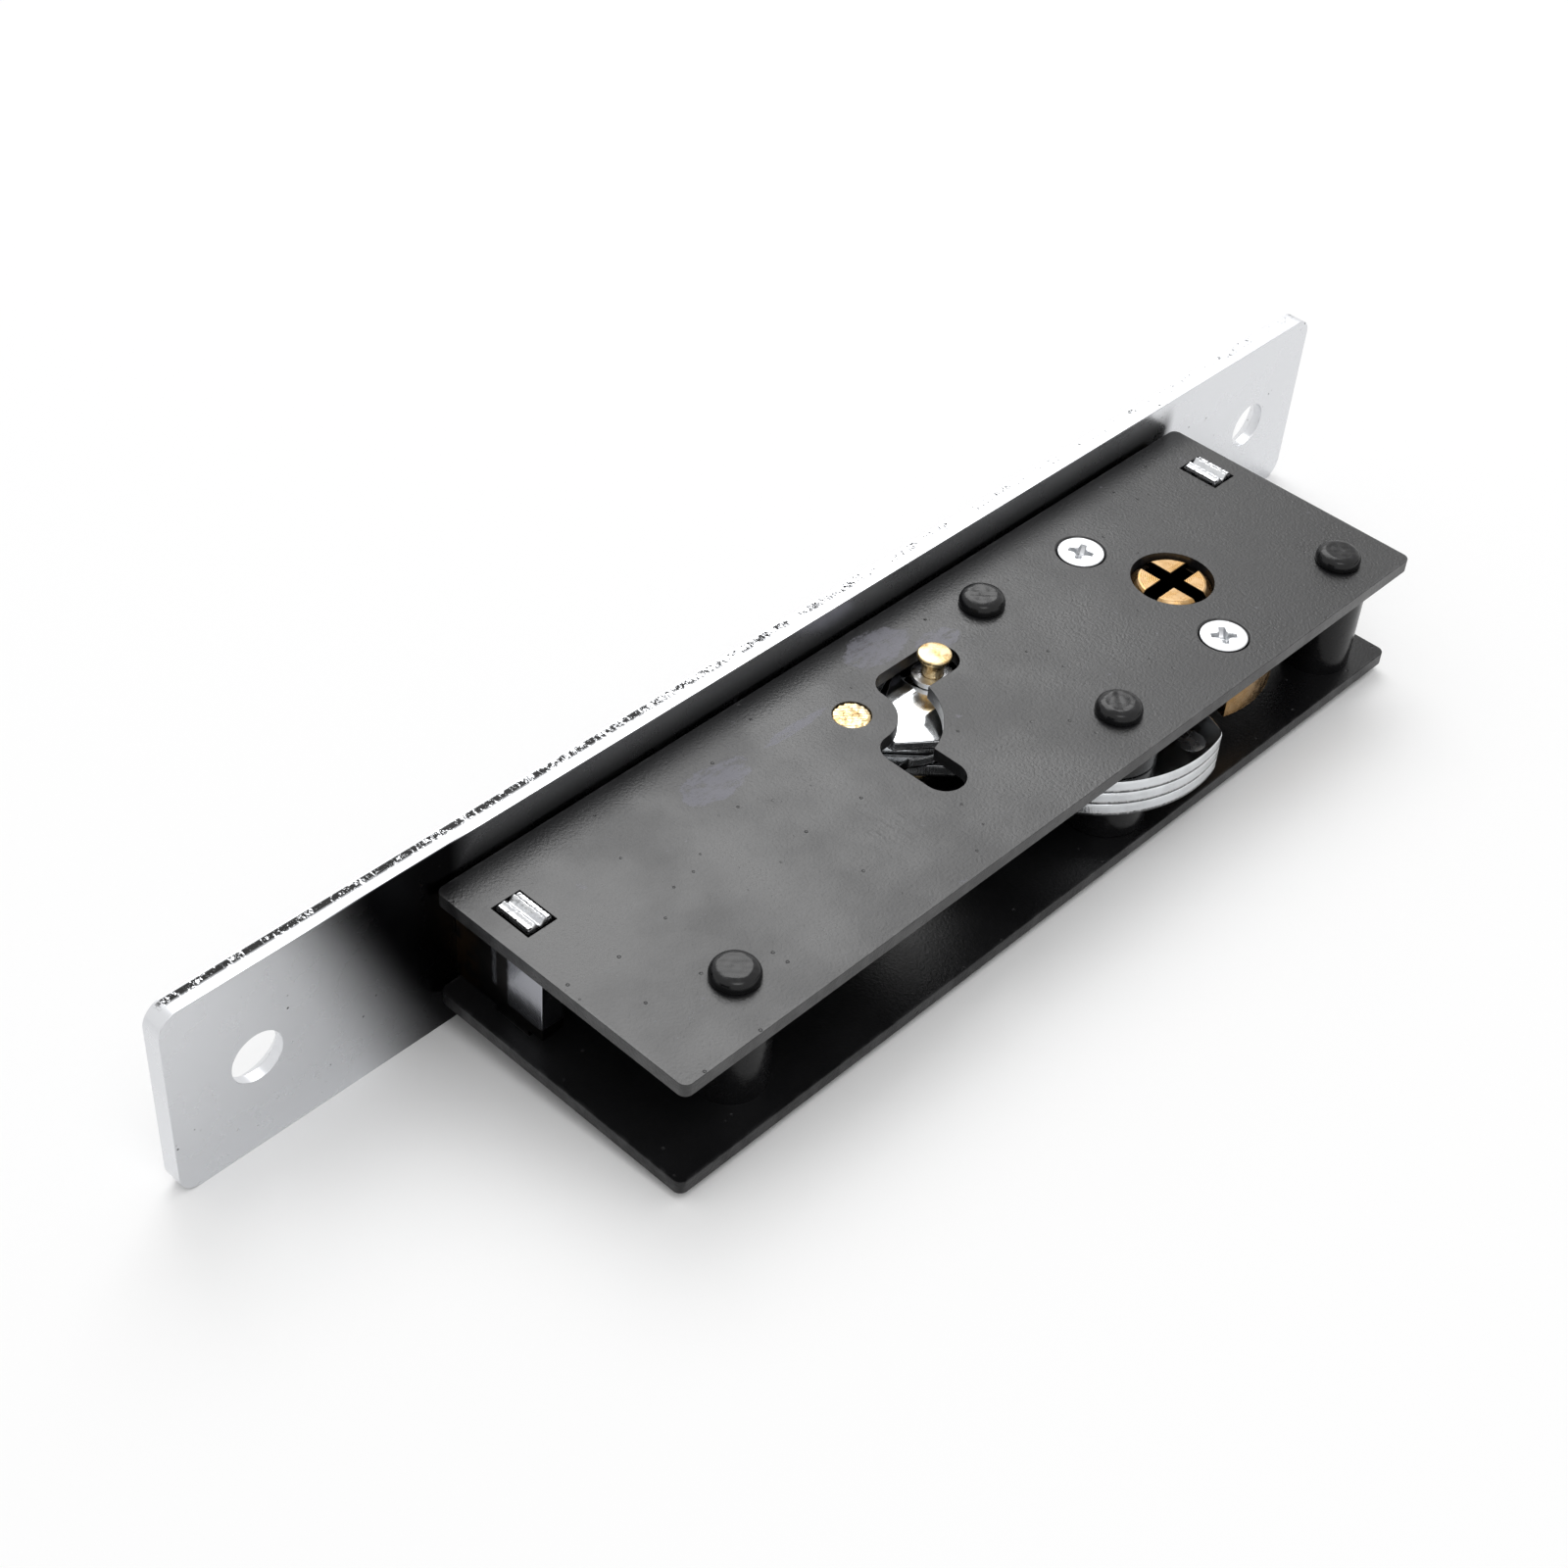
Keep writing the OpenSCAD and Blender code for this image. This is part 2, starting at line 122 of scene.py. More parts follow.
class Finish(Tree):  # one material round a Principled shader; places and sizes in millimetres
    def __init__(self, name, **fixed):
        self.material = bpy.data.materials.new(name)
        super().__init__(self.material)
        surface = self.add("ShaderNodeBsdfPrincipled")
        self.shader = surface.socket.node
        self.add("ShaderNodeOutputMaterial", sockets={0: surface})
        for key, value in fixed.items():
            self.shader.inputs[key].default_value = value
        self.place = self.add("ShaderNodeTexCoord", out="Object")
        outputs = self.add("ShaderNodeSeparateXYZ", sockets={0: self.place}).socket.node.outputs
        self.x, self.y, self.z = (Value(self, socket) * (1 / mm) for socket in outputs)

    def noise(self, size, detail=3.0, rough=0.55, stretch=(1, 1, 1), turn=0.0):  # size of a blotch
        spot = self.add("ShaderNodeMapping", sockets={
            0: self.place, "Rotation": (0, 0, math.radians(turn)),
            "Scale": tuple(1 / (s * size * mm) for s in stretch)})
        return self.add("ShaderNodeTexNoise", sockets={
            "Vector": spot, "Scale": 1.0, "Detail": detail, "Roughness": rough})

    def cells(self, size):  # distance to the nearest of many scattered dots, as a share of their spacing
        spot = self.add("ShaderNodeMapping", sockets={0: self.place, "Scale": (1 / (size * mm),) * 3})
        return self.add("ShaderNodeTexVoronoi", sockets={"Vector": spot, "Scale": 1.0})

    def awayFrom(self, x, y):  # distance from a vertical axis
        return ((self.x - x) ** 2.0 + (self.y - y) ** 2.0).math("SQRT")

    def blend(self, mask, low, high):
        return self.add("ShaderNodeMix", {"data_type": "RGBA"},
                        {0: mask, 6: low if isinstance(low, Value) else (*low, 1),
                         7: high if isinstance(high, Value) else (*high, 1)}, out=2)

    def bump(self, height, depth, under=None):
        sockets = {"Strength": 1.0, "Distance": depth * mm, "Height": height}
        if under:
            sockets["Normal"] = under
        return self.add("ShaderNodeBump", sockets=sockets)

    def wear(self, colour, rough, normal):
        for key, value in (("Base Color", colour), ("Roughness", rough), ("Normal", normal)):
            self.links.new(value.socket, self.shader.inputs[key])
        return self.material


# where the main parts stand, in millimetres, as in the part's source
places = {
    "hub": (-45.5, 23.0), "leverPivot": (-17.0, 35.8), "hookPivot": (9.7, 12.4), "pin": (-7.198, 11.91),
    "spacers": {"spacer_near": (54.3, 34.9), "spacer_front": (-20.9, 8.6), "spacer_far": (-66.8, 36.4),
                "lever_pivot": (-17.0, 35.8)},
    "screws": {"cylinder_screw_front": (-40.6, 10.35), "cylinder_screw_rear": (-40.6, 35.65)},
    "tabs": {"near": 65.45, "far": -70.05}, "tabY": 10.6,
    "plate": (-75.3, 70.7, 0.5, 43.3), "top": 9.6, "faceHalf": 15.0,
}


def shaded(colour, share):
    return tuple(share * c for c in colour)


blackLook = {
    "paint": (0.005, 0.005, 0.0055), "mottle": 1.35, "thin": (0.03, 0.03, 0.031), "dust": (0.15, 0.149, 0.175),
    "rough": 0.3, "coverShine": 1.57, "baseShine": 1.36, "peelDepth": 0.05, "speckDepth": 0.08,
    # rubbed marks on the cover's front half: place, length and width
    "rubs": ((32, 9.6, 6.5, 3.0), (17.5, 9.2, 6.0, 0.8), (-2.5, 5.2, 6.0, 3.6), (-10.5, 9.6, 4.0, 2.2)),
    # scuffed places: where, full up to, gone from, strength
    "scuffs": ((22, 30, 2.0, 7.5, 1.0), (-5.5, 31.5, 1.0, 5.0, 0.6)),
    "hubRing": (6.1, 7.4),
}


# satin black paint: orange peel, sunk specks, paler where an edge is near; the cover also has pale rubbed smears,
# two scuffed places, fine scratches and a worn ring round the hub
def plateBlack(name, onCover):
    look = blackLook
    f = Finish(name, Metallic=0.0, IOR=look["coverShine"] if onCover else look["baseShine"])
    x0, x1, y0, y1 = places["plate"]
    rim = (f.x - x0).math("MINIMUM", x1 - f.x).math("MINIMUM", (f.y - y0).math("MINIMUM", y1 - f.y))
    peel = f.noise(0.42)
    broad = f.noise(14.0)
    specks = f.cells(2.6).fade(0.04, 0.11) * f.noise(6.0, 1.0).step(0.45, 0.6)
    edge = rim.fade(0.05, 0.55) * f.noise(2.2, 4.0).step(0.42, 0.62)
    colour = f.blend(broad, look["paint"], shaded(look["paint"], look["mottle"]))
    colour = f.blend((edge * 0.8).math("MAXIMUM", specks * 0.5), colour, look["thin"])
    rough = broad.step(0.3, 0.7, look["rough"] - 0.05, look["rough"] + 0.07) + peel * 0.05
    if onCover:
        rubbed, scuffed = 0.0, 0.0
        for x, y, wide, deep in look["rubs"]:
            patch = (((f.x - x) / wide) ** 2.0 + ((f.y - y) / deep) ** 2.0).fade(0.0, 1.5)
            rubbed = patch.math("MAXIMUM", rubbed)
        for x, y, full, gone, strength in look["scuffs"]:
            scuffed = f.awayFrom(x, y).fade(full, gone) * strength + scuffed
        streaks = f.noise(1.3, 6.0, 0.85, (2.2, 1, 1), 8).step(0.36, 0.52)
        smear = (rubbed * 0.5 + f.noise(3.4, 6.0, 0.7) * 1.1).step(0.72, 0.82) * streaks
        scuff = f.noise(0.3, 3.0, 0.6, (1, 14, 1), 38).step(0.5, 0.64) * scuffed
        fine = f.noise(0.32, 3.0, 0.6, (26, 1, 1), -11).step(0.6, 0.69) * f.noise(9.0, 2.0).step(0.5, 0.62)
        ring = f.awayFrom(*places["hub"]).fade(*look["hubRing"]) * f.noise(1.0, 4.0).step(0.45, 0.65)
        colour = f.blend(smear * 0.85, colour, look["dust"])
        colour = f.blend(fine * 0.35 + scuff * 0.4, colour, look["thin"])
        colour = f.blend(ring * 0.35, colour, look["thin"])
        rough = rough + smear * 0.22 + fine * 0.08 + scuff * 0.12
    return f.wear(colour, rough, f.bump(specks * -1.0, look["speckDepth"], f.bump(peel, look["peelDepth"])))


rivetLook = {"paint": (0.004, 0.004, 0.0045), "struck": (0.012, 0.012, 0.013), "shine": 1.38, "rough": (0.17, 0.28),
             "headFrom": 1.55, "headFull": 1.75}


# thicker, glossier paint on the turned spacers, a little thinner where their heads were struck
def rivetBlack(name):
    look = rivetLook
    f = Finish(name, Metallic=0.0, IOR=look["shine"])
    lumps = f.noise(0.9)
    head = f.z.unsigned().step(places["top"] + look["headFrom"], places["top"] + look["headFull"])
    colour = f.blend(head * lumps.step(0.35, 0.7), look["paint"], look["struck"])
    lathe = f.noise(0.35, 2.0, 0.5, (30, 30, 1))
    return f.wear(colour, lumps.step(0.3, 0.7, *look["rough"]), f.bump(lumps, 0.02, f.bump(lathe, 0.006)))


zincLook = {"bright": (0.78, 0.80, 0.82), "mottle": 0.88, "dull": (0.5, 0.5, 0.5), "bottomDark": (0.05, 0.05, 0.05),
            "rough": 0.1, "lineDepth": 0.006, "tornDepth": 0.05}


# bright zinc on blanked steel from one height to another: soft mottle, fine rolling lines, a smooth band over a torn
# band on the edge, and darker along the edge's bottom
def zincPly(name, low, high):
    look = zincLook
    f = Finish(name, Metallic=1.0)
    mottle = f.noise(2.4, 4.0)
    lines = f.noise(0.16, 2.0, 0.5, (40, 1, 1), 8)
    torn = f.noise(0.3, 4.0, 0.7, (1, 1, 6))
    height = f.z.step(low, high)
    edge = height.band(0.02, 0.1, 0.9, 0.98)
    lowBand = (height + torn * 0.35).fade(0.3, 0.5) * edge
    # darker along the bottom of each sheet's edge
    bottomDark = (height + (torn - 0.5) * 0.5).fade(0.06, 0.16)
    colour = f.blend(mottle.step(0.35, 0.7), look["bright"], shaded(look["bright"], look["mottle"]))
    colour = f.blend(lowBand * torn.step(0.3, 0.7), colour, look["dull"])
    colour = f.blend(bottomDark * 0.85, colour, look["bottomDark"])
    rough = mottle.step(0.3, 0.7, look["rough"] - 0.05, look["rough"] + 0.1) + lowBand * 0.15
    return f.wear(colour, rough, f.bump(torn * edge, look["tornDepth"], f.bump(lines, look["lineDepth"])))


brightLook = {"pale": (0.7, 0.71, 0.72), "grey": (0.58, 0.59, 0.61), "stain": (0.6, 0.56, 0.5)}


# brighter zinc with tool marks, on the screws, the tabs and the faceplate's rivets
def zincBright(name, rough, markDepth):
    look = brightLook
    f = Finish(name, Metallic=1.0)
    mottle = f.noise(1.6, 4.0).step(0.3, 0.7)
    drag = f.noise(0.14, 3.0, 0.6, (1, 12, 12), 35)
    stain = f.noise(5.0).step(0.58, 0.75)
    colour = f.blend(stain * 0.4, f.blend(mottle, look["pale"], look["grey"]), look["stain"])
    return f.wear(colour, mottle * 0.16 + (rough - 0.04) + stain * 0.12, f.bump(drag, markDepth))


bracketLook = {
    # the dark zinc colour is a painted reflection of the black case, and the pale one a painted highlight
    "bareOrLit": (0.62, 0.63, 0.68), "mirroredCaseDark": (0.03, 0.028, 0.027), "oil": (0.12, 0.07, 0.03), "rough": 0.3,
    # painted highlights on the leg: soft edges along it, half its width, strength
    "litPatchesAt": (((9.3, 9.9, 16.9, 17.4), (5.2, 5.9), 1.0), ((6.6, 6.9, 7.2, 7.6), (3.4, 4.2), 0.6)),
}


# the brackets' zinc is painted dark as a reflection of the black case, with oil by the faceplate, but for a patch and
# a strip painted light as highlights
def bracketZinc(name):
    look = bracketLook
    f = Finish(name, Metallic=1.0)
    mottle = f.noise(1.6, 4.0)
    ragged = (mottle - 0.5) * 0.6
    along, across = f.y + ragged, f.z.unsigned() + ragged
    # painted highlights: a patch and a strip where the leg looks lit
    bareOrLit = 0.0
    for stretch, half, strength in look["litPatchesAt"]:
        bareOrLit = (along.band(*stretch) * across.fade(*half) * strength).math("MAXIMUM", bareOrLit)
    oily = along.fade(1.0, 5.5) * f.noise(4.0, 2.0).step(0.35, 0.6)
    colour = f.blend(bareOrLit, f.blend(oily, look["mirroredCaseDark"], look["oil"]), look["bareOrLit"])
    return f.wear(colour, bareOrLit * -0.1 + look["rough"], f.bump(mottle, 0.02))


chromeLook = {"colour": (0.70, 0.71, 0.73), "stain": (0.50, 0.43, 0.36), "mirroredCaseShade": (0.012, 0.012, 0.014),
              "pit": (0.015, 0.015, 0.015), "rough": 0.25, "pitDepth": 0.08}


# chrome on the faceplate: pits along the front's long edges, dark dots, a few brown stains, and on the back a painted
# reflection of the case's shade beside the case, over its near end and along its upper side
def chromePlate(name):
    look = chromeLook
    f = Finish(name, Metallic=1.0)
    cloud = f.noise(9.0, 4.0)
    rim = (places["faceHalf"] - f.z.unsigned()).fade(0.0, 0.5)
    front = (f.y * -1.0).band(1.35, 1.9, 2.6, 2.85) * rim
    grain = f.noise(0.75, 4.0, 0.8, (0.6, 1.3, 1)) * 0.75 + f.noise(2.6, 2.0) * 0.25
    pits = (grain - f.x.step(-70.0, 100.0, 0.57, 0.44)).step(0.0, 0.03) * front
    dots = f.cells(1.4).fade(0.06, 0.14) * f.noise(5.0).step(0.55, 0.66)
    pits = pits.math("MAXIMUM", dots)
    stain = f.noise(3.6, 5.0, 0.65).step(0.66, 0.76) * f.noise(17.0, 1.0).step(0.5, 0.62)
    # painted reflection: the back is darkened where it mirrors the dark case, by its near end and along its upper side
    nearEnd = (f.x - f.z * 0.35).fade(74.5, 89.5) * f.x.step(62.0, 68.0)
    upper = f.z.step(10.0, 15.0, 0.85, 0.0) * f.z.step(8.0, 9.0) * f.x.band(-76.0, -73.0, 69.0, 88.0)
    mirroredCaseShade = nearEnd.math("MAXIMUM", upper) * f.y.step(-0.35, -0.1)
    colour = f.blend(stain * 0.5, look["colour"], look["stain"])
    colour = f.blend(pits, f.blend(mirroredCaseShade, colour, look["mirroredCaseShade"]), look["pit"])
    rough = cloud.step(0.35, 0.75, look["rough"], look["rough"] + 0.07) + stain * 0.25 + rim * 0.12
    return f.wear(colour, rough, f.bump(pits * -1.0, look["pitDepth"]))


brassLook = {"colour": (0.62, 0.44, 0.2), "pale": (0.74, 0.6, 0.38), "brown": (0.26, 0.14, 0.045),
             "slotShade": (0.012, 0.009, 0.006), "rough": 0.24, "slotHalf": (1.12, 1.3), "slotReach": (5.9, 6.1)}


# cut brass: tool rings about an axis, pale worn faces, brown tarnish in the hollows, and painted shade in a hub's
# crossed slots
def cutBrass(name, x, y, ringSize, tarnish, shade=(1, 1, 1), slots=False):
    look = brassLook
    f = Finish(name, Metallic=1.0)
    ring = (f.awayFrom(x, y) * (2 * math.pi / ringSize) + f.noise(3.0, 2.0) * 3.0).math("SINE")
    cloud = f.noise(1.7, 5.0)
    scratch = f.noise(0.12, 2.0, 0.5, (18, 1, 1), 33)
    bareOrLit, pale = (tuple(c * s for c, s in zip(look[key], shade)) for key in ("colour", "pale"))
    colour = f.blend(cloud.step(0.35, 0.68), bareOrLit, pale)
    colour = f.blend(f.noise(1.9, 5.0, 0.65).step(0.48, 0.68) * tarnish, colour, look["brown"])
    if slots:
        # painted shade: the hub's crossed slots are coloured near black, as the shade deep inside them
        across = (f.x - x).unsigned().math("MINIMUM", (f.y - y).unsigned())
        slotShade = across.fade(*look["slotHalf"]) * f.awayFrom(x, y).fade(*look["slotReach"])
        colour = f.blend(slotShade, colour, look["slotShade"])
    rough = cloud.step(0.3, 0.7, look["rough"] - 0.05, look["rough"] + 0.12)
    return f.wear(colour, rough, f.bump(scratch, 0.006, f.bump(ring, 0.0035)))


steelLook = {"colour": (0.66, 0.67, 0.69), "grease": (0.5, 0.48, 0.45), "rough": 0.24, "rings": 28.0}


# turned steel bushes, washers and small rivets, with tool rings and a film of grease
def turnedSteel(name, x, y):
    look = steelLook
    f = Finish(name, Metallic=1.0)
    ring = (f.awayFrom(x, y) * look["rings"]).math("SINE")
    film = f.noise(2.0, 4.0).step(0.4, 0.7)
    colour = f.blend(film, look["colour"], look["grease"])
    return f.wear(colour, film * 0.14 + look["rough"], f.bump(ring, 0.004, f.bump(f.noise(0.4), 0.01)))


def linked(name, data):
    thing = bpy.data.objects.new(name, data)
    bpy.context.scene.collection.objects.link(thing)
    return thing


# a mesh object on a body, its close points merged and then changed by an edit; smooth but for its sharp edges
def meshPiece(name, points, faces, edit, body, material, sharp=sharpFrom):
    mesh = bpy.data.meshes.new(name)
    mesh.from_pydata(points, [], faces)
    shape = bmesh.new()
    shape.from_mesh(mesh)
    bmesh.ops.remove_doubles(shape, verts=shape.verts, dist=mergeWithin)
    edit(shape)
    shape.to_mesh(mesh)
    shape.free()
    mesh.polygons.foreach_set("use_smooth", np.ones(len(mesh.polygons), bool))
    mesh.set_sharp_from_angle(angle=math.radians(sharp))
    mesh.materials.append(material)
    thing = linked(name, mesh)
    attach(thing, body)
    return thing


# a new piece from points in millimetres and faces of any length, turned outwards
def piece(name, points, faces, body, material, sharp=sharpFrom):
    def outwards(shape):
        bmesh.ops.recalc_face_normals(shape, faces=shape.faces)

    faces = [list(face) for face in faces]
    return meshPiece(name, points * mm, faces, outwards, body, material, sharp)


def roundEdges(thing, width, steps, sharp=sharpFrom, flatFaces=True):
    bevel = thing.modifiers.new("edge", "BEVEL")
    bevel.width, bevel.segments, bevel.limit_method = width * mm, steps, "ANGLE"
    bevel.angle_limit, bevel.harden_normals = math.radians(sharp), flatFaces


# a CAD node's own shape, its triangles merged into faces, with its edges rounded as pressing and plating leave them
def dressed(node, material, edge, steps=2):
    def flatAreas(shape):
        bmesh.ops.dissolve_limit(shape, angle_limit=math.radians(0.5), verts=shape.verts, edges=shape.edges)

    source = frame["nodes"][node]
    points = np.zeros(len(source.data.vertices) * 3, np.float32)
    source.data.vertices.foreach_get("co", points)
    faces = np.zeros(len(source.data.loops), np.int32)
    source.data.loops.foreach_get("vertex_index", faces)
    thing = meshPiece(node + "_dressed", points.reshape(-1, 3), faces.reshape(-1, 3).tolist(), flatAreas,
                      body_of(source)[0], material)
    roundEdges(thing, edge, steps)
    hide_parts(node)


# quads between neighbouring points of a grid; a closed one joins its last column to its first
def gridFaces(rows, columns, closed=True):
    i, j = np.meshgrid(np.arange(rows - 1), np.arange(columns if closed else columns - 1), indexing="ij")
    here, nextRow, k = i * columns, (i + 1) * columns, (j + 1) % columns
    return np.stack([here + j, here + k, nextRow + k, nextRow + j], -1).reshape(-1, 4)


# a few waves added up: smooth unevenness between -1 and 1 without any random draw
def unevenness(x, y, size):
    a, b = x / size, y / size
    waves = (np.sin(2.1 * a + 1.3 * np.sin(1.7 * b)), np.sin(2.9 * b - 1.1 * np.sin(2.3 * a)),
             np.sin(3.7 * (a + b) + 0.6))
    return sum(waves) / 3


# profile points (radius, height) carried round the axis: x = r cos a, y = r sin a, z = height, plus any lift
def turned(profile, columns, lift=None):
    r, z = np.array(profile, float).T
    angle = np.linspace(0, 2 * np.pi, columns, endpoint=False)
    x, y = r[:, None] * np.cos(angle), r[:, None] * np.sin(angle)
    height = np.repeat(z[:, None], columns, 1)
    if lift:
        height = height + lift(x, y, height)
    return np.stack([x, y, height], -1).reshape(-1, 3), gridFaces(len(r), columns)


# a turned piece in the place of a CAD node
def turnedPiece(node, ending, at, profile, body, material, lift=None, columns=96, sharp=sharpFrom):
    points, faces = turned(profile, columns, lift)
    thing = piece(f"{node}_{ending}", points + (*at, 0), faces, body, material, sharp)
    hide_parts(node)


# a profile of an upper half and its mirror image below
def mirrored(half):
    return np.vstack([half, np.array(half)[::-1] * (1, -1)])


# profile points along straight runs between corners, with a short parabola at each corner
def softProfile(corners, softness, steps=4):
    corners = np.array(corners, float)
    out = [corners[0]]
    t = np.linspace(0, 1, steps + 1)[:, None]
    for before, corner, after in zip(corners[:-2], corners[1:-1], corners[2:]):
        back, ahead = before - corner, after - corner
        reach = min(softness, 0.45 * np.linalg.norm(back), 0.45 * np.linalg.norm(ahead))
        a, b = (corner + way / np.linalg.norm(way) * reach for way in (back, ahead))
        out.extend((1 - t) ** 2 * a + 2 * t * (1 - t) * corner + t ** 2 * b)
    out.append(corners[-1])
    return np.array(out)


# edge rounding in millimetres
roundings = {"faceplate": 0.3, "casePlates": 0.28, "brackets": 0.25, "bracketRivets": 0.1, "retainer": 0.15,
             "hub": 0.4, "plies": 0.16, "steel": 0.1, "bushes": 0.15}
# heights of the sheets, low and high
sheets = {"retainer": (5.1, 7.6),
          "lever": {"upper": (1.0, 3.0), "middle": (-1.0, 1.0), "lower": (-3.0, -1.0)},
          "hook": {"upper": (0.9, 2.9), "middle": (-0.9, 0.9), "lower": (-2.9, -0.9)}}

spacerPaint = rivetBlack("spacerPaint")
dressed("faceplate", chromePlate("chromeFace"), roundings["faceplate"], 3)
dressed("case_cover", plateBlack("coverPaint", True), roundings["casePlates"], 3)
dressed("case_base", plateBlack("basePaint", False), roundings["casePlates"], 3)
bracketFinish = bracketZinc("bracketZinc")
for node in ("bracket_near", "bracket_far"):
    dressed(node, bracketFinish, roundings["brackets"], 3)
dressed("bracket_rivets", zincBright("rivetChrome", 0.14, 0.004), roundings["bracketRivets"])
dressed("hub_retainer", zincPly("retainerZinc", *sheets["retainer"]), roundings["retainer"])
print("plates dressed")

hubBrass = cutBrass("hubBrass", *places["hub"], ringSize=0.3, tarnish=0.35, shade=(0.64, 0.53, 0.44), slots=True)
dressed("cam_hub", hubBrass, roundings["hub"], 4)
for part in ("lever", "hook"):
    for side, (low, high) in sheets[part].items():
        dressed(f"{part}_ply_{side}", zincPly(f"{part}Zinc{side}", low, high), roundings["plies"])
steelAt = {"hub_bush": "hub", "hook_bush_upper": "hookPivot", "hook_bush_lower": "hookPivot",
           "hook_rivets": "hookPivot", "pin_washer_upper": "pin", "pin_washer_lower": "pin"}
for node, spot in steelAt.items():
    dressed(node, turnedSteel(node + "Steel", *places[spot]), roundings["steel"])
# the lever's bushes take the spacers' black paint: partly blackened steel, partly painted shade under the lever's disc
for node in ("lever_bush_upper", "lever_bush_lower"):
    dressed(node, spacerPaint, roundings["bushes"])
print("works dressed")

spacer = {"body": 5.0, "neck": 2.5, "head": 3.25, "flat": 2.2, "rise": 1.8, "room": 7.6, "softness": 0.3,
          "dent": 0.035, "dentRing": 1.35, "dentWidth": 0.22, "dimple": 0.5}


# half a spacer's profile, mirrored; on the heads' flat tops the riveting punch leaves a shallow ring and a dimple,
# both bell curves of the distance from the axis, and some unevenness
def spacerPiece(node, at):
    s, low = spacer, places["top"]
    high = low + s["rise"]
    crown = [(r, high) for r in (0, *np.linspace(0.25, 1.9, 8))]
    side = [(s["flat"], high), (0.9 * s["head"], low + 0.8 * s["rise"]), (s["head"], low + 0.42 * s["rise"]),
            (s["head"], low), (s["neck"], low), (s["neck"], s["room"]), (s["body"], s["room"])]

    def dents(x, y, z):
        flat = np.clip((np.abs(z) - low - 0.7 * s["rise"]) / (0.3 * s["rise"]), 0, 1)
        away = np.hypot(x, y)
        ring = 0.5 * np.exp(-((away - s["dentRing"]) / s["dentWidth"]) ** 2) + np.exp(-(away / s["dimple"]) ** 2)
        return -np.sign(z) * flat * s["dent"] * (ring + 0.9 * unevenness(x + at[0], y + at[1], 0.8))

    profile = mirrored(np.vstack([crown, softProfile(side, s["softness"])]))
    turnedPiece(node, "turned", at, profile, "case", spacerPaint, dents)


for node, at in places["spacers"].items():
    spacerPiece(node, at)
print("spacers turned")

screw = {"head": 3.35, "shank": 1.95, "sink": 1.7, "length": 5.4, "recess": 1.5, "armLength": 1.8, "armWidth": 0.52,
         "armTaper": 0.35, "wall": 0.14, "middle": 0.95, "turns": (24.0, 47.0), "columns": 240, "rows": 60}


# flat countersunk screw with a cross recess: the recess is as deep as the deeper of two tapering arms and a round
# middle
def crossScrew(node, at, degrees):
    s, top = screw, places["top"]
    tip = top - s["length"]
    profile = [(r, top) for r in np.linspace(0, s["head"] - 0.12, s["rows"])]
    profile += [(s["head"] - 0.03, top - 0.04), (s["head"], top - 0.14), (s["shank"], top - s["sink"]),
                (s["shank"], tip + 0.3), (s["shank"] - 0.3, tip), (0, tip)]

    def recess(x, y, z):
        a = math.radians(degrees)
        u, v = np.abs(x * math.cos(a) + y * math.sin(a)), np.abs(y * math.cos(a) - x * math.sin(a))
        depth = 0
        for along, across in ((u, v), (v, u)):
            width = s["armWidth"] * (1.15 - s["armTaper"] * along / s["armLength"])
            wall = np.clip((width - across) / s["wall"], 0, 1)
            end = np.clip((s["armLength"] - along) / 0.75, 0, 1) ** 0.6
            depth = np.maximum(depth, wall * end)
        depth = np.maximum(depth * 0.8, np.clip((s["middle"] - np.hypot(u, v)) / 0.5, 0, 1))
        return np.where(z > top - 0.01, -s["recess"] * depth, 0)

    finish = zincBright(node + "Zinc", 0.3, 0.006)
    turnedPiece(node, "cut", at, profile, "case", finish, recess, s["columns"], 50)


for (node, at), degrees in zip(places["screws"].items(), screw["turns"]):
    crossScrew(node, at, degrees)
print("screws cut")

pin = {"neck": 1.5, "head": 2.4, "crown": 1.9, "under": 9.7, "thick": 0.9, "dome": 0.2, "neckTo": 5.0,
       "softness": 0.12}


# headed pin: its ends fall with the square of the radius to a rounded rim, and a straight neck runs through the slots
def lockingPin():
    p, high = pin, pin["under"] + pin["thick"]
    crown = [(r, high - p["dome"] * (r / p["head"]) ** 2) for r in np.linspace(0, p["crown"], 12)]
    side = [crown[-1], (p["head"] - 0.12, high - 0.18), (p["head"], p["under"] + 0.45),
            (p["head"], p["under"] + 0.05), (p["head"] - 0.2, p["under"]), (p["neck"], p["under"]),
            (p["neck"], p["neckTo"])]
    profile = mirrored(np.vstack([crown, softProfile(side, p["softness"])[1:]]))
    finish = cutBrass("pinBrass", *places["pin"], ringSize=0.18, tarnish=0.8)
    turnedPiece("locking_pin", "turned", places["pin"], profile, "pin", finish)


lockingPin()

pivot = {"head": 2.6, "shank": 2.3, "crown": 2.4, "face": 9.6, "under": 7.6, "held": 0.02, "dish": 0.1, "dent": 0.09}


# brass pivot riveted flush: held just below the plates' faces, its ends fall with the fourth power of the radius and
# are hammered unevenly
def hookPivot():
    p, face = pivot, pivot["face"]
    profile = [(r, face - p["held"] - p["dish"] * (r / p["head"]) ** 4) for r in np.linspace(0, p["crown"], 16)]
    profile += [(p["head"] - 0.05, face - 0.16), (p["head"], face - 0.3), (p["head"], p["under"]),
                (p["shank"], p["under"])]

    def hammered(x, y, z):
        return -np.sign(z) * (np.abs(z) > face - 0.25) * p["dent"] * (1 + unevenness(x, y, 0.45)) / 1.2

    finish = cutBrass("pivotBrass", *places["hookPivot"], ringSize=0.4, tarnish=0.85)
    turnedPiece("hook_pivot", "riveted", places["hookPivot"], mirrored(profile), "case", finish, hammered)


hookPivot()
print("brass turned")

plyRivet = {"shank": 1.5, "head": 2.1, "face": 3.0, "rise": 0.06, "at": ((-9.2, 6.3), (-8.6, -7.0), (3.0, -10.0))}


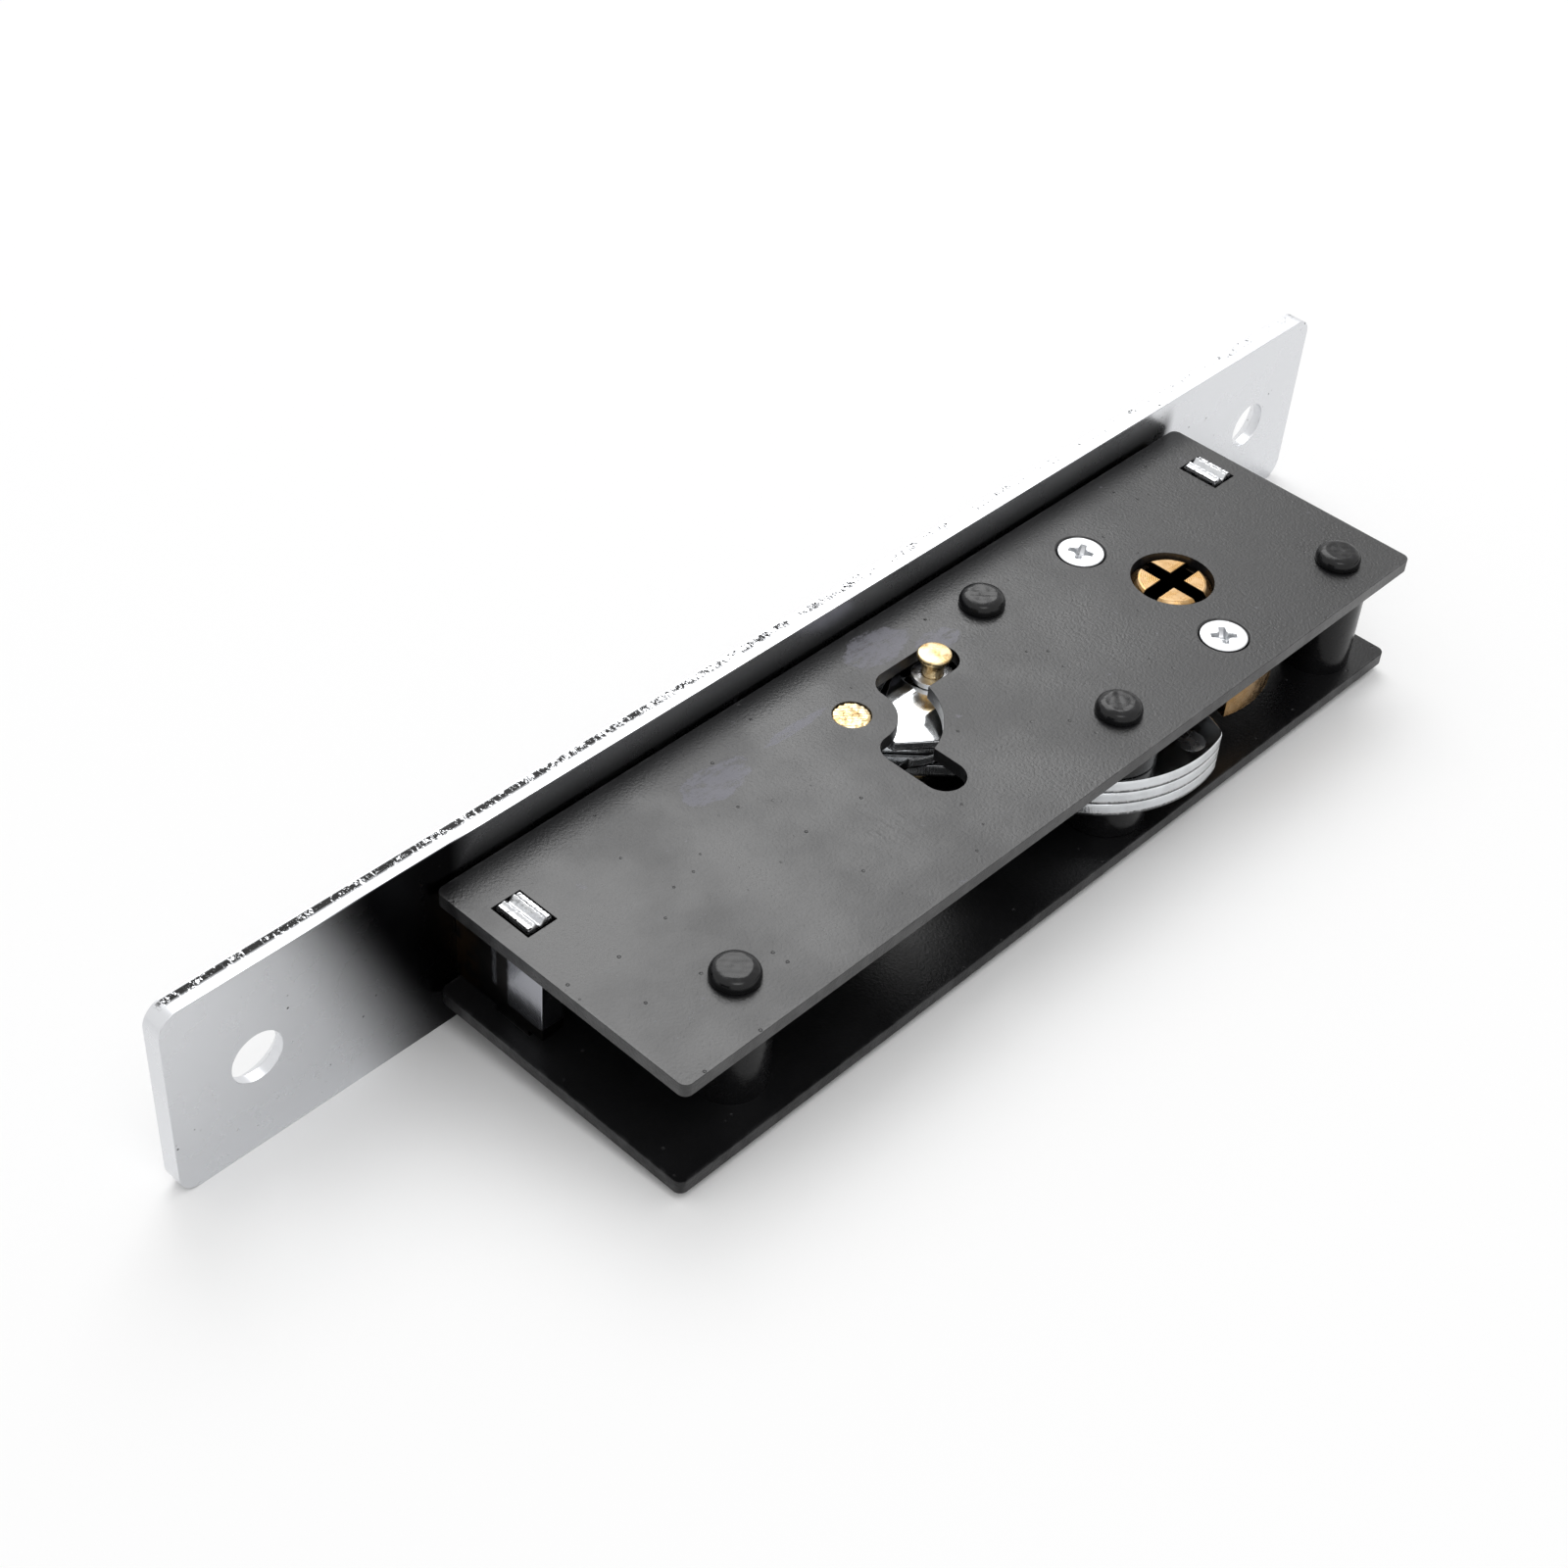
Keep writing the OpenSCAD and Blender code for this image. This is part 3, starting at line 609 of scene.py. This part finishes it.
# rivets through the lever's plies: heads pressed nearly flat, falling with the fourth power of the radius
def plyRivets():
    p, centre = plyRivet, np.array(places["leverPivot"])
    profile = [(r, p["face"] + p["rise"] * (1 - (r / (p["head"] + 0.05)) ** 4)) for r in np.linspace(0, p["head"], 12)]
    profile += [(p["head"], p["face"]), (p["shank"], p["face"])]
    points, faces = turned(mirrored(profile), 48)
    allPoints = np.vstack([points + (*(centre + spot), 0) for spot in p["at"]])
    allFaces = np.vstack([faces + i * len(points) for i in range(len(p["at"]))])
    thing = piece("lever_rivets_pressed", allPoints, allFaces, "drive_lever",
                  turnedSteel("leverRivetSteel", *centre))
    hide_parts("lever_rivets")


plyRivets()

# radii, and angles in degrees, are from the lever's pivot
leaf = {"low": 4.6, "high": 6.1, "inner": 13.6, "outer": 30.8, "from": -72.0, "to": -38.0, "corner": 1.2,
        "pinAt": (27.15, -68.9), "bite": 3.3, "foot": 18.5, "footTo": -46.0, "footLow": 3.02, "gap": 0.02,
        "edge": 0.12}


# bright leaf on the lever's arm, close under the cover, that carries the pin: a sector with a rounded corner, cut by
# a circle about the pin, on a smaller sector for its foot
def pinLeaf():
    start, stop = leaf["from"], leaf["to"]

    def polar(radius, degrees):
        a = np.radians(degrees)
        return np.stack([radius * np.cos(a), radius * np.sin(a)], -1)

    def plate(outline, low, high):  # the outline at two heights, their caps and the wall between
        n = len(outline)
        flat = outline + np.array(places["leverPivot"])
        points = np.vstack([np.column_stack([flat, np.full(n, z)]) for z in (low, high)])
        return points, [list(range(n))[::-1], list(range(n, 2 * n))] + gridFaces(2, n).tolist()

    # the bite's circle crosses the leaf's first side at two points, off by the same length from the side's point
    # nearest to the pin
    middle, side = polar(*leaf["pinAt"]), polar(1.0, start)
    along = middle @ side
    off = math.sqrt(leaf["bite"] ** 2 - (np.linalg.norm(middle) ** 2 - along ** 2))
    first, last = (np.degrees(math.atan2(v[1], v[0])) for v in ((along + s * off) * side - middle for s in (1, -1)))
    bite = middle + polar(leaf["bite"], np.linspace(first, last, 28))
    slip = np.degrees(leaf["corner"] / leaf["outer"])
    outer = polar(leaf["outer"], np.linspace(start, stop - slip, 30))
    corner = polar(leaf["outer"] - np.array([0.35, 0.75, leaf["corner"]]), stop - slip * np.array([0.4, 0.12, 0.0]))
    inner = polar(leaf["inner"], np.linspace(stop, start, 16))
    footOuter = polar(leaf["foot"], np.linspace(start, leaf["footTo"], 16))
    footInner = polar(leaf["inner"], np.linspace(leaf["footTo"], start, 16))
    points, faces = plate(np.vstack([outer, corner, inner, bite[::-1]]), leaf["low"], leaf["high"])
    footPoints, footFaces = plate(np.vstack([footOuter, footInner]), leaf["footLow"], leaf["low"] - leaf["gap"])
    faces += [[i + len(points) for i in face] for face in footFaces]
    thing = piece("pin_leaf", np.vstack([points, footPoints]), faces, "drive_lever",
                  zincPly("leafZinc", leaf["low"], leaf["high"]))
    roundEdges(thing, leaf["edge"], 2, 40.0, False)


pinLeaf()
print("lever dressed")

tab = {"wide": 3.6, "deep": 5.6, "proud": 0.5, "lift": 0.02, "ridge": 0.34, "ridgeAt": 0.78, "groove": 0.45,
       "below": 0.4, "spread": 0.16, "points": 61}
tabZinc = zincBright("tabZinc", 0.26, 0.02)


# a staked tab's end over its CAD solid: across its width a groove and two burrs, all bell curves, falling off at the
# border, which spreads a little; a skirt and a fan of faces below close it
def stakedTab(name, x, side):
    t, y, n = tab, places["tabY"], tab["points"]
    u, v = np.meshgrid(np.linspace(-1, 1, n), np.linspace(-1, 1, n), indexing="ij")
    px, py = u * t["wide"] / 2, v * t["deep"] / 2
    burrs = np.exp(-((np.abs(px) - t["ridgeAt"]) / 0.3) ** 2) * (0.75 + 0.25 * unevenness(px + x, py, 0.6))
    groove = t["groove"] * np.exp(-(px / 0.34) ** 2)
    border = np.maximum(np.abs(u), np.abs(v))
    fall = 0.3 * np.clip((border - 0.93) / 0.07, 0, 1) ** 2
    z = places["top"] + t["proud"] + t["lift"] + t["ridge"] * burrs - groove + 0.03 * unevenness(px, py, 0.35) - fall
    grow = 1 + t["spread"] / t["wide"] * np.clip(border - 0.6, 0, 1)
    top = np.stack([px * grow + x, py * grow + y, z * side], -1)
    skirt = np.concatenate([top[:-1, 0], top[-1, :-1], top[:0:-1, -1], top[0, :0:-1]])
    bottom = side * (places["top"] - t["below"])
    low = skirt * (1, 1, 0) + (0, 0, bottom)
    points = np.vstack([top.reshape(-1, 3), skirt, low, [[x, y, bottom]]])
    start, count = n * n, len(skirt)
    k = np.arange(count)
    fan = start + count + np.stack([k, (k + 1) % count, np.full(count, count)], -1)
    faces = gridFaces(n, n, closed=False).tolist() + (start + gridFaces(2, count)).tolist() + fan.tolist()
    piece(name, points, faces, "case", tabZinc, 50)


for end, x in places["tabs"].items():
    for level, side in (("upper", 1), ("lower", -1)):
        stakedTab(f"tab_{end}_{level}", x, side)
print("tabs staked")

# lean is the fall from the faceplate's lower edge to the base's rivet heads, and the run between them
floorLook = {"reach": 2.2, "rows": 12, "columns": 96, "lean": (15.0 - 11.4, 38.6), "colour": (0.9, 0.9, 0.9),
             "glow": 0.64, "mirrored": 0.3, "contact": 0.035}


# a round pale floor that touches the faceplate's lower edge and the base's rivet heads: it shines evenly to the
# camera and to mirrors, and darkens near the part
def paleFloor():
    look = floorLook
    rings = [(r, 0) for r in np.linspace(0, look["reach"], look["rows"])]
    flat, faces = turned(rings, look["columns"])
    lean = Matrix.Rotation(math.atan2(*look["lean"]), 3, "X")
    mesh = bpy.data.meshes.new("floor")
    mesh.from_pydata(flat @ np.array(lean).T + (0, 0, -places["faceHalf"] * mm), [], faces.tolist())
    linked("floor", mesh)
    material = bpy.data.materials.new("floorPale")
    mesh.materials.append(material)
    tree = Tree(material)
    camera, glossy, through = tree.rays()
    near = tree.add("ShaderNodeAmbientOcclusion", {"samples": 3}, {"Distance": look["contact"]}, out=1)
    share = (camera.math("MAXIMUM", through) * look["glow"] + glossy * look["mirrored"]) * near.step(0.45, 1.0)
    matt = tree.add("ShaderNodeBsdfDiffuse", sockets={"Color": (*look["colour"], 1)})
    glow = tree.add("ShaderNodeEmission", sockets={"Color": (1, 1, 1, 1), "Strength": 1.0})
    tree.add("ShaderNodeOutputMaterial", sockets={
        0: tree.add("ShaderNodeMixShader", sockets={0: share, 1: matt, 2: glow})})


paleFloor()

skyLook = {"seen": 1.0, "lights": 0.66}


# a white world, dimmer in the light it gives than it looks to the camera and in mirrors
def whiteWorld():
    world = bpy.data.worlds.new("studio")
    bpy.context.scene.world = world
    sky = Tree(world)
    camera, glossy, through = sky.rays()
    dim, white = (sky.add("ShaderNodeBackground", sockets={"Color": (1, 1, 1, 1), "Strength": skyLook[key]})
                  for key in ("lights", "seen"))
    seen = camera.math("MAXIMUM", glossy).math("MAXIMUM", through)
    sky.add("ShaderNodeOutputWorld", sockets={
        0: sky.add("ShaderNodeMixShader", sockets={0: seen, 1: dim, 2: white})})


whiteWorld()

# place, size and power of the square lamps, which are turned towards the part
lamps = {"lampBack": ((-0.50, -0.64, 0.98), 0.8, 7.4), "lampOver": ((0.3, 0.5, 1.1), 0.5, 2.6)}
for name, (place, size, power) in lamps.items():
    light = bpy.data.lights.new(name, "AREA")
    light.shape, light.size, light.energy = "SQUARE", size, power
    lamp = linked(name, light)
    lamp.location = place
    lamp.rotation_euler = (Vector((0, 0.02, 0)) - Vector(place)).to_track_quat("-Z", "Y").to_euler()

# middle, direction, width and height of the upright dark cards, which the camera doesn't see, for metal to mirror
cards = {"cardLeft": ((1.0, 0.15, 0.12), (0, 1, 0), 0.7, 0.32),
         "cardRight": ((-0.9, 0.7, 0.1), (0.61, 0.79, 0), 0.7, 0.28),
         "cardFront": ((0.25, -0.9, 0.15), (1, 0, 0), 0.8, 0.3)}
cardMaterial = bpy.data.materials.new("cardDark")
cardTree = Tree(cardMaterial)
cardDark = cardTree.add("ShaderNodeBsdfDiffuse", sockets={"Color": (0.02, 0.02, 0.02, 1)})
cardTree.add("ShaderNodeOutputMaterial", sockets={0: cardDark})
for name, (place, along, wide, high) in cards.items():
    s, t = np.meshgrid((-0.5, 0.5), (-0.5, 0.5), indexing="ij")
    corners = place + s[..., None] * np.array(along) * wide + t[..., None] * np.array((0, 0, high))
    cardMesh = bpy.data.meshes.new(name)
    cardMesh.from_pydata(corners.reshape(-1, 3), [], [[0, 1, 3, 2]])
    cardMesh.materials.append(cardMaterial)
    card = linked(name, cardMesh)
    card.visible_camera = False

# camera at the photograph's place, found from the plates' corners
cameraLook = {"place": (0.210501, 0.174471, 0.230038), "lens": 59.587, "sensor": 36.0,
              "right": (-0.69083865, 0.72057731, 0.05924777), "down": (0.45508339, 0.49704881, -0.73881093),
              "ahead": (-0.56181943, -0.48343647, -0.67130329)}
camera = bpy.data.cameras.new("camera")
camera.sensor_width, camera.lens = cameraLook["sensor"], cameraLook["lens"]
camera.clip_start, camera.clip_end = 0.01, 20.0
viewer = linked("camera", camera)
axes = np.stack([cameraLook["right"], -np.array(cameraLook["down"]), -np.array(cameraLook["ahead"])], 1)
viewer.matrix_world = Matrix.Translation(cameraLook["place"]) @ Matrix(axes.tolist()).to_4x4()
bpy.context.scene.camera = viewer
bpy.context.scene.view_settings.view_transform = "Standard"
print("stage set")
